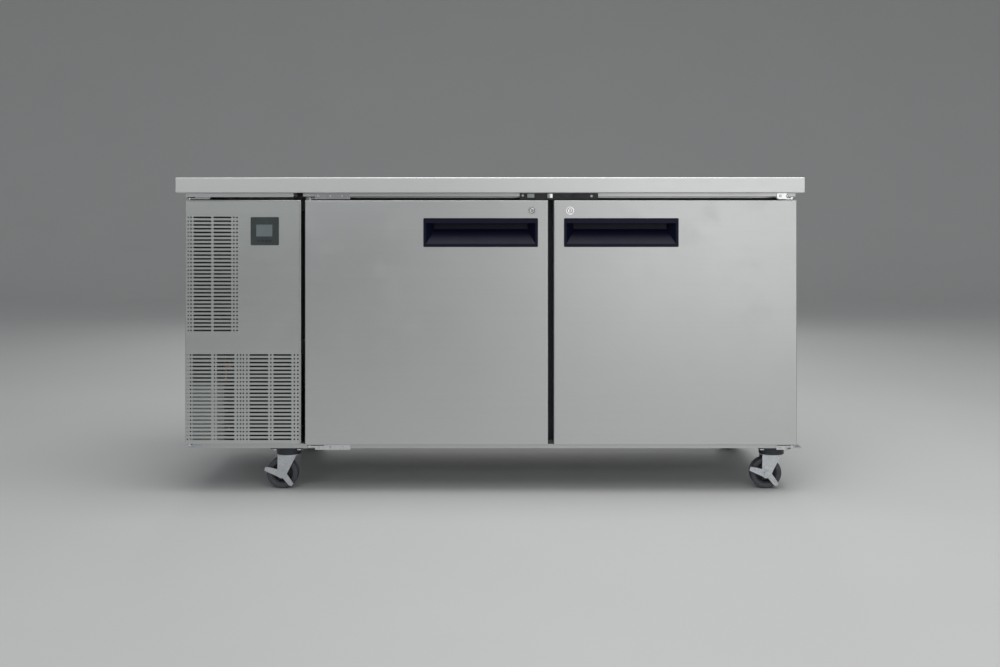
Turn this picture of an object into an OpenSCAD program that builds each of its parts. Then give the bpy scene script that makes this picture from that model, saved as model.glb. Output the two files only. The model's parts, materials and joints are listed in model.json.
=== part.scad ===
// Two-door undercounter refrigerator: stainless worktop over an insulated storage
// cabinet, with the refrigeration unit behind a hinged grille panel on the left.
// Millimetres. The origin is on the floor under the middle of the worktop, the
// doors face -Y, +X points to the right-hand door and +Z is up.

/* [Overall size] */
// Width over the worktop
top_w = 1785; // [1480:5:2200]
// Depth over the worktop
top_d = 700; // [580:5:860]
// Height from the floor to the worktop surface
total_h = 900; // [750:5:1100]

/* [Worktop] */
// Height of the worktop's front edge
worktop_t = 44; // [30:1:60]
// Worktop sheet thickness
worktop_sheet = 1.5; // [1:0.1:3]
// Width of the return lip under the worktop
worktop_lip = 18; // [10:1:30]
// Outer radius of the worktop's bends
worktop_bend = 3; // [2:0.5:6]
// Worktop past the unit's side panel
overhang_left = 24.5; // [5:0.5:60]
// Worktop past the right-hand door
overhang_right = 19.5; // [5:0.5:60]
// Door front behind the worktop's front edge
door_setback = 8; // [6:0.5:30]
// Worktop past the cabinet's back
overhang_back = 5; // [3:0.5:40]

/* [Cabinet] */
// Insulated wall thickness
wall = 50; // [40:1:80]
// Outer and inner sheet thickness
sheet = 0.8; // [0.6:0.1:1.5]
// Width of the post between the doors
mullion_w = 80; // [70:1:120]
// Depth of the post between the doors
mullion_d = 45; // [30:1:80]
// Thickness of the plastic frame round the door openings
frame_t = 3; // [2:0.5:6]
// Steel band outside the plastic frame
frame_band = 14; // [8:1:17]
// Cabinet wall past the left-hand door's edge
wall_reveal = 8; // [4:0.5:10]

/* [Doors] */
// Door thickness
door_t = 55; // [45:1:80]
// Gap between the two doors
door_gap = 16; // [12:0.5:24]
// Gap between the unit panel and the left-hand door
unit_gap = 12; // [10:0.5:20]
// Gap under the doors, over the cabinet's base
door_foot = 13; // [11:0.5:25]
// Gap over the doors and the unit panel, under the worktop
head_gap = 21; // [18:0.5:40]
// Outer radius of the door skin's bends
door_bend = 2.5; // [1.5:0.5:5]
// Seal width
seal_w = 20; // [14:1:26]
// Seal thickness when closed
seal_t = 12; // [8:0.5:18]
// Seal's outer edge in from the door's edge
seal_inset = 10; // [10:0.5:14]
// Space left between the closed seal and the frame
seal_clear = 0.3; // [0.2:0.1:1]
// Door liner thickness
liner_t = 1.2; // [0.8:0.1:3]
// Height of the raised panel inside the seal
dyke_h = 8; // [4:0.5:10]

/* [Handles and locks] */
// Handle width
handle_w = 326; // [220:1:400]
// Handle height
handle_h = 82; // [70:1:110]
// Handle tub depth behind the door's face
handle_d = 38; // [34:1:42]
// Handle's end in from the door's free edge
handle_inset = 29; // [24:1:60]
// Handle's top edge below the door's top
handle_drop = 51; // [46:1:120]
// Wall left between the finger cavity and the tub's outside
handle_wall = 4; // [2:0.5:6]
// Length of the sloped ends of the finger cavity
handle_end = 28; // [15:1:45]
// Depth of the gripping lip from front to back
handle_lip = 9; // [6:0.5:14]
// Lock axis in from the door's free edge
lock_inset = 46; // [42:1:90]
// Lock axis below the door's top
lock_drop = 29.5; // [27:0.5:33]
// Radius of the turning lock barrel
barrel_r = 7; // [5:0.5:9]
// Radius of the lock's bezel
bezel_r = 11.5; // [10:0.5:16]
// Length of the lock's cam from the lock axis
cam_len = 38; // [35:0.5:38.5]
// Width of the lock's cam
cam_w = 12; // [8:1:14]
// Thickness of the lock's cam
cam_t = 3; // [2:0.5:4]

/* [Hinges] */
// Hinge pin in from the door's hinged edge
pivot_x = 12; // [11:0.5:14]
// Hinge pin behind the door's face
pivot_y = 15; // [13:0.5:17]
// Door hinge pin radius
pin_r = 5; // [3:0.5:6]
// Length of the pin inside the door
pin_len = 20; // [12:1:30]
// Radial running clearance of every pin and axle
run_clear = 0.05; // [0.02:0.01:0.1]
// Length of the left-hand door's hinge brackets
bracket_left_w = 127; // [60:1:160]
// Length of the right-hand door's hinge brackets
bracket_right_w = 54; // [40:1:120]
// Hinge bracket plate thickness
bracket_t = 3; // [2:0.5:4]

/* [Refrigeration unit] */
// Width of the unit's front panel
unit_w = 329; // [329:1:420]
// Panel pan depth from front to back
panel_d = 18; // [14:1:18]
// Panel sheet thickness
panel_sheet = 1.2; // [0.8:0.1:2]
// Radius of the panel's corners
panel_r = 6; // [2:0.5:9]
// Gap under the panel, over the unit's base
panel_foot = 17; // [17:0.5:25]
// Panel pivot in from its left and front faces
panel_pivot = 10; // [9:0.5:11]
// Panel hinge pin radius
panel_pin_r = 4; // [3:0.5:5]
// Depth of the base tray's lips
tray_lip = 14; // [10:1:14]

/* [Grilles] */
// Height of a grille slot and size of a round hole
slot_h = 4.7; // [3:0.1:5]
// Distance from one slot to the next in the lower grille
slot_pitch = 10.9; // [9:0.1:14]
// Distance from one slot to the next in the upper grille
upper_pitch = 10.72; // [9:0.01:14]
// Rows in the lower grille
lower_rows = 23; // [10:1:23]
// Lowest row above the panel's bottom edge
lower_start = 13; // [10:1:20]
// Lowest row of the upper grille above the panel's bottom edge
upper_start = 322.5; // [300:0.5:340]
// Highest row of the upper grille below the panel's top edge
upper_end = 48.5; // [40:0.5:80]

/* [Controller] */
// Side of the square controller bezel
control_w = 80; // [60:1:90]
// Controller centre in from the panel's right edge
control_inset = 102; // [60:1:110]
// Controller centre below the panel's top edge
control_drop = 88; // [60:1:110]
// Depth of the controller body behind the panel
control_d = 52; // [30:1:55]

/* [Refrigeration parts] */
// Condenser coil width
condenser_w = 190; // [120:1:190]
// Condenser coil height
condenser_h = 235; // [180:1:250]
// Condenser coil depth
condenser_d = 50; // [30:1:60]
// Condenser fan blade radius
fan_r = 84; // [60:1:86]
// Compressor radius
compressor_r = 76; // [60:1:80]
// Compressor height
compressor_h = 175; // [140:1:190]
// Evaporator fan blade radius
evap_fan_r = 72; // [50:1:72]
// Evaporator housing wall thickness
evap_wall = 22; // [15:1:30]
// Copper pipe radius
pipe_r = 4.8; // [3:0.2:6]

/* [Shelves] */
// Shelves in each bay
shelf_count = 2; // [1:1:3]
// Space from one shelf wire to the next
wire_pitch = 32; // [20:1:50]
// Shelf wire radius
wire_r = 2; // [1.5:0.1:3]
// Shelf frame rod radius
rod_r = 3.5; // [3:0.1:5]

/* [Casters] */
// Height from the floor to the base
caster_h = 125; // [118:1:140]
// Wheel diameter
wheel_d = 90; // [75:1:92]
// Wheel width
wheel_w = 30; // [20:1:34]
// Swivel axis to wheel axle
trail = 18; // [10:1:24]
// Side of the caster's top plate
plate_w = 94; // [80:1:100]
// Axle bolt radius
axle_r = 5; // [4:0.5:6]
// Left-hand casters in from the cabinet's left wall
caster_left = -50; // [-60:1:60]
// Right-hand casters in from the cabinet's right wall
caster_right = 56; // [50:1:100]
// Front casters behind the cabinet's front
caster_front = 7; // [5:1:60]
// Rear casters in from the cabinet's back
caster_back = 85; // [60:1:140]

/* [Hidden] */
$fn = 48;
eps = 1;                    // how far a cutter runs past the face it opens
near_gap = 0.3;             // space between pieces that move past each other

// Doors and cabinet, left to right
x_left = -top_w / 2 + overhang_left;
x_right = top_w / 2 - overhang_right;
panel_x1 = x_left + unit_w;
door_w = (x_right - panel_x1 - unit_gap - door_gap) / 2;
door_left_x = panel_x1 + unit_gap;
mullion_x = door_left_x + door_w + door_gap / 2;
cab_x0 = door_left_x - wall_reveal;
cab_x1 = x_right;
// Front to back
y_front = -top_d / 2;
door_y = y_front + door_setback;
cab_y0 = door_y + door_t + seal_t;
cab_y1 = top_d / 2 - overhang_back;
rail_y = door_y + 17;       // face of the rail over the doors
plinth_y = door_y + 22;     // face of the rail under the doors
rail_t = 1.2;
tray_y = plinth_y + rail_t;
// Bottom to top
base_z = caster_h;
worktop_z = total_h - worktop_t;
door_z = base_z + door_foot;
door_h = worktop_z - head_gap - door_z;
panel_z = base_z + panel_foot;
panel_h = worktop_z - head_gap - panel_z;
head_z = worktop_z - head_gap;
rail_h = 10;                // height of the rail over the doors
tray_t = 1.5;               // base tray sheet
tray_floor = base_z + tray_t;

// Storage space
in_x0 = cab_x0 + wall;
in_x1 = cab_x1 - wall;
in_y1 = cab_y1 - wall;
in_z0 = base_z + wall;
in_z1 = worktop_z - wall;

// Handle and lock, from the door's hinged bottom corner
handle_x = door_w - handle_inset - handle_w;
handle_z = door_h - handle_drop - handle_h;
lock_x = door_w - lock_inset;
lock_z = door_h - lock_drop;
lock_tube_y = 18;           // back end of the fixed lock tube
cam_y = 19;                 // front face of the cam
cam_room = 1.5;             // space round the cam inside the door
lock_left_x = door_left_x + lock_x;
lock_right_x = x_right - lock_x;
strike_z = head_z + 1.5;    // underside of the strike over the doors

// Unit compartment
unit_x0 = x_left + panel_sheet;
side_y = door_y + panel_d + 8;
control_x = panel_x1 - control_inset;
control_z = head_z - control_drop;
condenser_x = panel_x1 - 16 - condenser_w;
condenser_y = door_y + 42;
condenser_z = tray_floor + 20;
fan_x = condenser_x + condenser_w / 2;
fan_z = condenser_z + condenser_h / 2;
shroud_y = condenser_y + condenser_d;
shroud_d = 32;
shroud_t = 1.5;
fan_y = shroud_y + shroud_d - 16;
motor_y = fan_y + 12;
motor_len = 50;
compressor_x = fan_x - 10;
compressor_y = motor_y + motor_len + 22 + compressor_r;
compressor_z = tray_floor + 16;
// Evaporator: what is left over the condensing unit
evap_x0 = cab_x0 - 195;
evap_y0 = door_y + 92;
evap_y1 = cab_y1 - 95;
evap_z0 = base_z + 305;
evap_z1 = worktop_z - 56;
evap_fan_y = evap_y1 - evap_wall - evap_fan_r - 18;
evap_fan_z = (evap_z0 + evap_z1) / 2;
evap_hole_r = evap_fan_r + 6;
coil_y0 = evap_y0 + evap_wall + 18;
coil_y1 = evap_fan_y - evap_hole_r - 22;
coil_z0 = evap_z0 + evap_wall + 12;
coil_z1 = evap_z1 - evap_wall - 12;
coil_x = evap_x0 + evap_wall + 22;
coil_d = 90;
return_edge = 30;           // return opening in from the coil's edges
// Condensate tray behind the compressor
pan_y0 = compressor_y + compressor_r + 14;
pan_y1 = min(pan_y0 + 200, cab_y1 - 12);
pan_x0 = compressor_x - 105;
pan_w = 200;
pan_h = 50;

// Shelves
shelf_y0 = cab_y0 + mullion_d + 12;
shelf_y1 = in_y1 - 18;
shelf_gap = (in_z1 - in_z0) / (shelf_count + 1);
upright_w = 22;
upright_d = 8;
upright_y = [shelf_y0 + 6, shelf_y1 - 8 - upright_w];
clip_l = 14;
clip_h = 10;
post_w = 16;                // uprights behind the post between the doors
bays = [[in_x0 + sheet + upright_d, mullion_x - post_w / 2],
        [mullion_x + post_w / 2, in_x1 - sheet - upright_d]];

// Casters
caster_x = [cab_x0 + caster_left, cab_x1 - caster_right];
caster_y = [cab_y0 + caster_front, cab_y1 - caster_back];
plate_t = 4;
race_r = 36;
race_h = 20;
crown_t = 3;
crown_gap = 0.4;
crown_z = base_z - plate_t - race_h - crown_gap - crown_t;
king_r = 6;
leg_t = 3;
leg_gap = 3;                // wheel side to fork leg
axle_z = wheel_d / 2;
pedal_t = 2.5;

// ---- shared shapes ----

// Rectangle w by h with all four corners rounded
module round_rect(w, h, r) {
    translate([r, 0]) square([w - 2 * r, h]);
    translate([0, r]) square([w, h - 2 * r]);
    for (x = [r, w - r]) for (y = [r, h - r]) translate([x, y]) circle(r);
}

// Rectangle w by h with the two corners at y = 0 rounded
module round_low(w, h, r) {
    translate([r, 0]) square([w - 2 * r, h]);
    translate([0, r]) square([w, h - r]);
    for (x = [r, w - r]) translate([x, r]) circle(r);
}

// A shape drawn in X and Z, d deep along +Y
module front_plate(d) {
    translate([0, d, 0]) rotate([90, 0, 0]) linear_extrude(d) children();
}

// A shape drawn in Y and Z, w long along +X
module side_plate(w) {
    rotate([90, 0, 90]) linear_extrude(w) children();
}

// Box w by d by h whose four front edges are bent to radius r
module bent_front(w, d, h, r) {
    intersection() {
        linear_extrude(h) round_low(w, d, r);
        translate([0, 0, h]) rotate([0, 90, 0]) linear_extrude(w) round_low(h, d, r);
    }
}

// Cylinder from y = 0 back along +Y
module rod_y(r, len) {
    rotate([-90, 0, 0]) cylinder(r = r, h = len);
}

// Cylinder from x = 0 along +X
module rod_x(r, len) {
    rotate([0, 90, 0]) cylinder(r = r, h = len);
}

// Box between two corners
module span(a, b) {
    translate(a) cube([b[0] - a[0], b[1] - a[1], b[2] - a[2]]);
}

// Ball elbow's radius over the tube's
elbow_ratio = 1.45;

// Round tube along a list of points, solid, with a ball elbow at each corner
module pipe(points, r) {
    for (i = [0 : len(points) - 2]) {
        step = points[i + 1] - points[i];
        flat = norm([step[0], step[1]]);
        translate(points[i]) rotate([0, atan2(flat, step[2]), atan2(step[1], step[0])])
            cylinder(r = r, h = norm(step));
    }
    for (i = [1 : 1 : len(points) - 2]) translate(points[i]) sphere(r * elbow_ratio);
}

// Finned block: fins side by side along X, tubes through them along X with return bends
module finned_coil(w, d, h, fin_pitch, tube_r) {
    fins = floor((w - 2 * tube_r) / fin_pitch);
    core = d - 8;
    rows = floor(h / 40);
    for (i = [0 : fins]) translate([w / 2 + (i - fins / 2) * fin_pitch - 0.5, 0, 0])
        cube([1, d, h]);
    translate([w / 2 - fins / 2 * fin_pitch, 4, 3]) cube([fins * fin_pitch, core, h - 6]);
    for (j = [0 : rows - 1]) translate([-6, d / 2, (j + 0.5) * h / rows])
        rod_x(tube_r, w + 12);
}

// Fan: a hub along +Z with pitched blades, centred on the origin
module fan(r, hub_r, hub_h, blades, bore) {
    difference() {
        union() {
            translate([0, 0, -hub_h / 2]) cylinder(r = hub_r, h = hub_h);
            intersection() {
                translate([0, 0, -hub_h / 2]) cylinder(r = r, h = hub_h);
                for (i = [0 : blades - 1]) rotate([0, 0, i * 360 / blades])
                    translate([hub_r - 2, 0, 0]) rotate([28, 0, 0])
                        translate([0, -hub_r * 0.72, -0.9]) cube([r, hub_r * 1.44, 1.8]);
            }
        }
        translate([0, 0, -hub_h / 2 + 3]) cylinder(r = bore, h = hub_h - 3 + eps);
    }
}

// ---- worktop ----

module worktop_solid(inset) {
    w = top_w - 2 * inset;
    d = top_d - 2 * inset;
    t = worktop_t - 2 * inset;
    r = worktop_bend - inset;
    translate([-w / 2, -d / 2, worktop_z + inset]) intersection() {
        side_plate(w) round_rect(d, t, r);
        front_plate(d) round_rect(w, t, r);
    }
}

module worktop_mouth(z0, z1) {
    lip = worktop_lip;
    translate([-top_w / 2 + lip, -top_d / 2 + lip, z0])
        cube([top_w - 2 * lip, top_d - 2 * lip, z1 - z0]);
}

module worktop() color("silver") difference() {
    worktop_solid(0);
    worktop_solid(worktop_sheet);
    worktop_mouth(worktop_z - eps, worktop_z + worktop_sheet + eps);
}

module worktop_core() color("burlywood") union() {
    worktop_solid(worktop_sheet);
    worktop_mouth(worktop_z, worktop_z + worktop_sheet + eps);
}

// ---- insulated cabinet ----

// Openings through the cabinet's left wall: the fan's round one and the return air's slot
module wall_ducts(x0, x1, grow) {
    translate([x0, evap_fan_y, evap_fan_z]) rod_x(evap_hole_r + grow, x1 - x0);
    span([x0, coil_y0 + return_edge - grow, coil_z0 + return_edge - grow],
        [x1, coil_y1 - return_edge + grow, coil_z1 - return_edge + grow]);
}

module cabinet_shell() color("silver") difference() {
    span([cab_x0, cab_y0, base_z], [cab_x1, cab_y1, worktop_z]);
    span([cab_x0 + sheet, cab_y0 + sheet, base_z + sheet],
        [cab_x1 - sheet, cab_y1 - sheet, worktop_z - sheet]);
    span([cab_x0 + frame_band, cab_y0 - eps, base_z + frame_band],
        [cab_x1 - frame_band, cab_y0 + sheet + eps, worktop_z - frame_band]);
    wall_ducts(cab_x0 - eps, cab_x0 + sheet + eps, 0);
}

module cabinet_insulation() color("khaki") difference() {
    span([cab_x0 + sheet, cab_y0 + sheet, base_z + sheet],
        [cab_x1 - sheet, cab_y1 - sheet, worktop_z - sheet]);
    span([in_x0, cab_y0 - eps, in_z0], [in_x1, in_y1, in_z1]);
    span([cab_x0 + frame_band, cab_y0 - eps, base_z + frame_band],
        [cab_x1 - frame_band, cab_y0 + frame_t, worktop_z - frame_band]);
    wall_ducts(cab_x0 - eps, in_x0 + eps, 0);
}

module cabinet_liner() color("gainsboro") difference() {
    span([in_x0, cab_y0 + frame_t, in_z0], [in_x1, in_y1, in_z1]);
    span([in_x0 + sheet, cab_y0, in_z0 + sheet],
        [in_x1 - sheet, in_y1 - sheet, in_z1 - sheet]);
    wall_ducts(in_x0 - eps, in_x0 + sheet + eps, 0);
}

module door_frame() color("dimgray") difference() {
    span([cab_x0 + frame_band, cab_y0, base_z + frame_band],
        [cab_x1 - frame_band, cab_y0 + frame_t, worktop_z - frame_band]);
    for (b = [[in_x0 + sheet, mullion_x - mullion_w / 2],
              [mullion_x + mullion_w / 2, in_x1 - sheet]])
        span([b[0], cab_y0 - eps, in_z0 + sheet], [b[1], cab_y0 + frame_t + eps, in_z1 - sheet]);
}

module centre_mullion() color("silver")
    span([mullion_x - mullion_w / 2, cab_y0 + frame_t, in_z0 + sheet],
        [mullion_x + mullion_w / 2, cab_y0 + mullion_d, in_z1 - sheet]);

// Folded rail under the worktop: over the doors, and a shorter one over the unit panel
module top_rail() color("silver") {
    translate([cab_x0, rail_y, worktop_z - rail_h]) rail_fold(x_right - cab_x0, cab_y0 - rail_y);
    translate([unit_x0, door_y + 4, worktop_z - rail_h - 2])
        rail_fold(cab_x0 - 25 - unit_x0, 60, rail_h + 2);
}

module rail_fold(w, d, h = rail_h) {
    cube([w, rail_t, h]);
    cube([w, d, rail_t]);
    translate([0, d - rail_t, 0]) cube([w, rail_t, h]);
}

// Plinth strip under the doors and the unit, with a flange back to the cabinet
module base_rail() color("silver") {
    x0 = x_left + 44;
    span([x0, plinth_y, base_z], [x_right, tray_y, base_z + door_foot - 1]);
    span([cab_x0, plinth_y, base_z], [x_right, cab_y0, base_z + rail_t]);
    span([x_right - eps, plinth_y, base_z], [x_right + 18, cab_y0, base_z + rail_t + 1]);
}

// ---- hinges, lock strike ----

// One door bracket: a plate against the rail, and an ear over or under the door with its pin.
// Drawn for the left-hand door's top, from the pin's axis at the door's edge height.
module door_bracket(w, plate_back, plate_h) {
    ear = 9;
    gap = 3;
    span([ear + 5, plate_back - bracket_t, gap], [w - pivot_x, plate_back, gap + plate_h]);
    translate([0, 0, gap]) cylinder(r = ear - 2.5, h = bracket_t + 3, $fn = 6);
    intersection() {
        translate([0, 0, gap]) cylinder(r = ear, h = bracket_t);
        span([-ear, -ear, gap], [ear, plate_back, gap + bracket_t]);
    }
    span([0, -ear, gap], [40, plate_back, gap + bracket_t]);
    translate([0, 0, -pin_len]) cylinder(r = pin_r, h = pin_len + gap + eps);
}

// One panel bracket: an ear with a pin at its tip
module panel_bracket(back, foot) {
    ear = 8;
    translate([0, 0, 3]) cylinder(r = ear, h = bracket_t);
    span([-ear, 0, 3], [ear + foot, back, 3 + bracket_t]);
    translate([0, 0, -9]) cylinder(r = panel_pin_r, h = 12 + eps);
}

module hinge_brackets() color("lightgray") {
    y = door_y + pivot_y;
    for (s = [[door_left_x + pivot_x, 0, bracket_left_w], [x_right - pivot_x, 1, bracket_right_w]])
        translate([s[0], y, 0]) mirror([s[1], 0, 0]) {
            translate([0, 0, head_z]) door_bracket(s[2], rail_y - y, head_gap - 4);
            translate([0, 0, door_z]) mirror([0, 0, 1]) door_bracket(s[2], plinth_y - y, 14);
        }
    translate([x_left + panel_pivot, door_y + panel_pivot, 0]) {
        translate([0, 0, head_z]) {
            panel_bracket(35, 50);
            span([14, 8, 3 + bracket_t], [58, 35, head_gap - rail_h - 2]);
        }
        translate([0, 0, panel_z]) mirror([0, 0, 1])
            panel_bracket(tray_y - door_y - panel_pivot, 0);
    }
}

// Strike over the two locks: a channel that the raised cams stand in
module lock_strike() color("black") difference() {
    x0 = lock_left_x - 34;
    x1 = lock_right_x + 81;
    top = worktop_z - rail_h;
    union() {
        span([x0, rail_y - 5, strike_z], [x1, rail_y, worktop_z - 1]);
        span([x0, rail_y - eps, strike_z], [x1, rail_y + 12, top]);
    }
    span([x0 - eps, door_y + cam_y - 1.5, strike_z - eps],
        [x1 + eps, door_y + cam_y + cam_t + 1.5, top - 1.5]);
}

// ---- unit compartment ----

module unit_tray() color("lightgray") difference() {
    span([unit_x0, tray_y, base_z], [cab_x0, cab_y1 - panel_sheet, base_z + tray_lip]);
    span([unit_x0 + tray_t, tray_y + tray_t, tray_floor],
        [cab_x0 - tray_t, cab_y1 - panel_sheet - tray_t, base_z + tray_lip + eps]);
}

module unit_side_panel() color("silver")
    span([x_left, side_y, base_z], [unit_x0, cab_y1, worktop_z]);

module unit_back_panel() color("silver") {
    w = cab_x0 - unit_x0;
    h = worktop_z - base_z;
    rows = floor((h - 160) / 18);
    translate([unit_x0, cab_y1 - panel_sheet, base_z]) difference() {
        cube([w, panel_sheet, h]);
        for (x = [30, w / 2 - 35, w - 100]) for (j = [0 : rows])
            translate([x, -eps, 110 + j * 18]) cube([70, panel_sheet + 2 * eps, 6]);
        translate([w - 84, -eps, 48]) cube([28, panel_sheet + 2 * eps, 48]);
    }
}

// Mains inlet on the back panel: a socket with three blades
module power_inlet() color("black") {
    w = cab_x0 - unit_x0;
    translate([unit_x0 + w - 84, cab_y1, base_z + 48]) {
        difference() {
            union() {
                translate([-11, 0, -4]) cube([50, 2.5, 56]);
                translate([0, -26, 0]) cube([28, 26 + eps, 48]);
            }
            translate([3, -18, 12]) cube([22, 30, 24]);
        }
        for (p = [[8, 20], [20, 20], [14, 29]])
            translate([p[0] - 1, -19, p[1] - 2.5]) cube([2, 14, 5]);
    }
}

// ---- hinged front panel ----

// Round holes and slots of one grille row, from the panel's left edge
upper_dots = [8.5, 17, 139, 148];
upper_slots = [[24, 51], [81, 51]];
lower_dots = [7, 16, 84, 149, 158, 166, 176, 244, 311, 321];
lower_slots = [[21, 54], [90, 51], [183, 54], [251, 52]];
upper_rows = floor((panel_h - upper_end - upper_start) / upper_pitch + 0.01);

module grille_row(dots, slots) {
    r = slot_h / 2;
    for (x = dots) translate([x, 0]) circle(r);
    for (s = slots) {
        translate([s[0] + r, -r]) square([s[1] - 2 * r, slot_h]);
        for (x = [s[0] + r, s[0] + s[1] - r]) translate([x, 0]) circle(r);
    }
}

module grille_cuts() {
    for (j = [0 : lower_rows - 1]) translate([0, lower_start + j * slot_pitch])
        grille_row(lower_dots, lower_slots);
    for (j = [0 : upper_rows]) translate([0, upper_start + j * upper_pitch])
        grille_row(upper_dots, upper_slots);
}

module panel_pan(inset) {
    w = unit_w - 2 * inset;
    h = panel_h - 2 * inset;
    translate([inset, inset, inset]) intersection() {
        linear_extrude(h) round_low(w, panel_d, 2.5 - inset);
        front_plate(panel_d) round_rect(w, h, panel_r - inset);
    }
}

module unit_front_panel() color("silver") translate([x_left, door_y, panel_z]) difference() {
    union() {
        difference() {
            panel_pan(0);
            panel_pan(panel_sheet);
            translate([0, -eps, 0]) front_plate(panel_sheet + 2 * eps) grille_cuts();
            translate([control_x - x_left - control_w / 2 + 4, -eps,
                control_z - panel_z - control_w / 2 + 4])
                cube([control_w - 8, panel_sheet + 2 * eps, control_w - 8]);
        }
        for (z = [panel_sheet / 2, panel_h - 12 - panel_sheet / 2])
            translate([panel_pivot, panel_pivot, z]) cylinder(r = panel_pivot - 2, h = 12);
    }
    for (z = [-eps, panel_h - 9.5]) translate([panel_pivot, panel_pivot, z])
        cylinder(r = panel_pin_r + run_clear, h = 9.5 + eps);
}

module controller_bezel() color("black")
    translate([control_x - control_w / 2, door_y, control_z - control_w / 2]) difference() {
        union() {
            translate([0, -2, 0]) front_plate(2) round_rect(control_w, control_w, 3);
            translate([4, -eps, 4]) cube([control_w - 8, control_d + eps, control_w - 8]);
        }
        translate([16, -2 - eps, 25]) cube([46, 1 + eps, 34]);
    }

module controller_display() color("slategray")
    translate([control_x - control_w / 2 + 16, door_y - 2, control_z - control_w / 2 + 25])
        cube([46, 1, 34]);

// ---- condensing unit ----

module electrical_box() color("darkseagreen") {
    x0 = unit_x0 + 6;
    y0 = door_y + 38;
    w = 94;
    span([x0, y0 + 2, tray_floor], [x0 + w, y0 + 110, tray_floor + 178]);
    span([x0 + 4, y0, tray_floor + 4], [x0 + w - 4, y0 + 2, tray_floor + 174]);
    for (x = [24, 50, 76]) translate([x0 + x, y0 + 110, tray_floor + 40]) rod_y(9, 14);
}

module compressor() color("dimgray") translate([compressor_x, compressor_y, compressor_z]) {
    intersection() {
        cylinder(r = compressor_r, h = compressor_h);
        translate([0, 0, compressor_h / 2]) sphere(compressor_h * 0.62);
    }
    translate([-88, -58, 0]) difference() {
        cube([176, 116, 3]);
        for (x = [12, 164]) for (y = [12, 104]) translate([x, y, -eps])
            cylinder(r = 6, h = 3 + 2 * eps);
    }
    translate([compressor_r - 12, -24, 55]) cube([20, 48, 62]);
    translate([0, 0, compressor_h - 25]) rotate([0, 0, 200]) rod_x(6, compressor_r + 8);
    translate([0, 0, compressor_h - 25]) rotate([0, 0, 130]) rod_x(7, compressor_r + 8);
}

module compressor_mounts() color("black")
    for (x = [-76, 76]) for (y = [-46, 46])
        translate([compressor_x + x, compressor_y + y, tray_floor]) {
            cylinder(r = 12, h = compressor_z - tray_floor);
            cylinder(r = 5.8, h = compressor_z - tray_floor + 3);
            translate([0, 0, compressor_z - tray_floor + 3]) cylinder(r = 10, h = 4);
        }

module condenser_coil() color("dimgray") translate([condenser_x, condenser_y, condenser_z]) {
    finned_coil(condenser_w, condenser_d, condenser_h, 6, 5);
    for (z = [-20, condenser_h]) translate([0, 0, z])
        cube([condenser_w, condenser_d, z < 0 ? 20 : 6]);
}

module fan_shroud() color("dimgray") translate([condenser_x, shroud_y, condenser_z]) difference() {
    translate([0, 0, -20]) cube([condenser_w, shroud_d, condenser_h + 20]);
    translate([shroud_t, -eps, 0]) cube([condenser_w - 2 * shroud_t, shroud_d - shroud_t + eps,
        condenser_h - shroud_t]);
    translate([condenser_w / 2, 0, condenser_h / 2]) rod_y(fan_r + 3, shroud_d + eps);
}

module condenser_fan_motor() color("dimgray") translate([fan_x, motor_y, fan_z]) {
    rod_y(30, motor_len);
    translate([0, -16, 0]) rod_y(4, 18);
    reach = fan_r + 8;
    for (a = [45, 135, 225, 315]) rotate([0, a, 0]) {
        translate([0, 10, -5]) cube([reach, 3, 10]);
        translate([reach - 5, shroud_y + shroud_d - motor_y, -5])
            cube([5, 13 - (shroud_y + shroud_d - motor_y), 10]);
    }
}

module condenser_fan_blade() color("black")
    translate([fan_x, fan_y, fan_z]) rotate([-90, 0, 0])
        fan(fan_r, 24, 20, 5, 4 + run_clear);

// Drier: a copper capsule held upright by its two pipes
drier_x = unit_x0 + 52;
drier_y = compressor_y - 10;
drier_z = tray_floor + 110;
drier_len = 100;

module filter_drier() color("peru") translate([drier_x, drier_y, drier_z])
    rotate_extrude() polygon([[0, 0], [pipe_r + 2, 0], [12, 14], [12, drier_len - 14],
        [pipe_r + 2, drier_len], [0, drier_len]]);

suction_port = [evap_x0 + 70, coil_y0 + 30, evap_z0];
liquid_port = [evap_x0 + 40, coil_y0 + 60, evap_z0];

// Point out from the compressor's shell along one of its two ports
function port(angle, out) = [compressor_x + (compressor_r + out) * cos(angle),
    compressor_y + (compressor_r + out) * sin(angle), compressor_z + compressor_h - 25];

module refrigerant_pipes() color("peru") {
    up = evap_z0 - 45;
    coil_top = condenser_z + condenser_h - 30;
    out = port(200, 26);
    back = port(130, 26);
    cond_in = [condenser_x - 6, condenser_y + condenser_d / 2];
    pipe([port(200, 8), out, [out[0], out[1], out[2] + 25],
        [condenser_x - 22, cond_in[1] + 60, out[2] + 25],
        [condenser_x - 22, cond_in[1], out[2] + 25], [condenser_x - 22, cond_in[1], coil_top],
        [cond_in[0], cond_in[1], coil_top]], pipe_r);
    pipe([[drier_x, drier_y, drier_z], [drier_x, drier_y, condenser_z + 25],
        [condenser_x - 13.5, drier_y, condenser_z + 25],
        [condenser_x - 13.5, cond_in[1], condenser_z + 25],
        [cond_in[0], cond_in[1], condenser_z + 25]], pipe_r);
    pipe([[drier_x, drier_y, drier_z + drier_len], [drier_x, drier_y, up - 20],
        [liquid_port[0], liquid_port[1], up - 20], liquid_port], pipe_r);
    pipe([port(130, 8), back, [back[0], back[1], up],
        [suction_port[0], suction_port[1], up], suction_port], pipe_r + 1.5);
}

module condensate_tray() color("gray") difference() {
    span([pan_x0, pan_y0, tray_floor], [pan_x0 + pan_w, pan_y1, tray_floor + pan_h]);
    span([pan_x0 + 2, pan_y0 + 2, tray_floor + 2],
        [pan_x0 + pan_w - 2, pan_y1 - 2, tray_floor + pan_h + eps]);
}

// ---- evaporator ----

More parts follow.
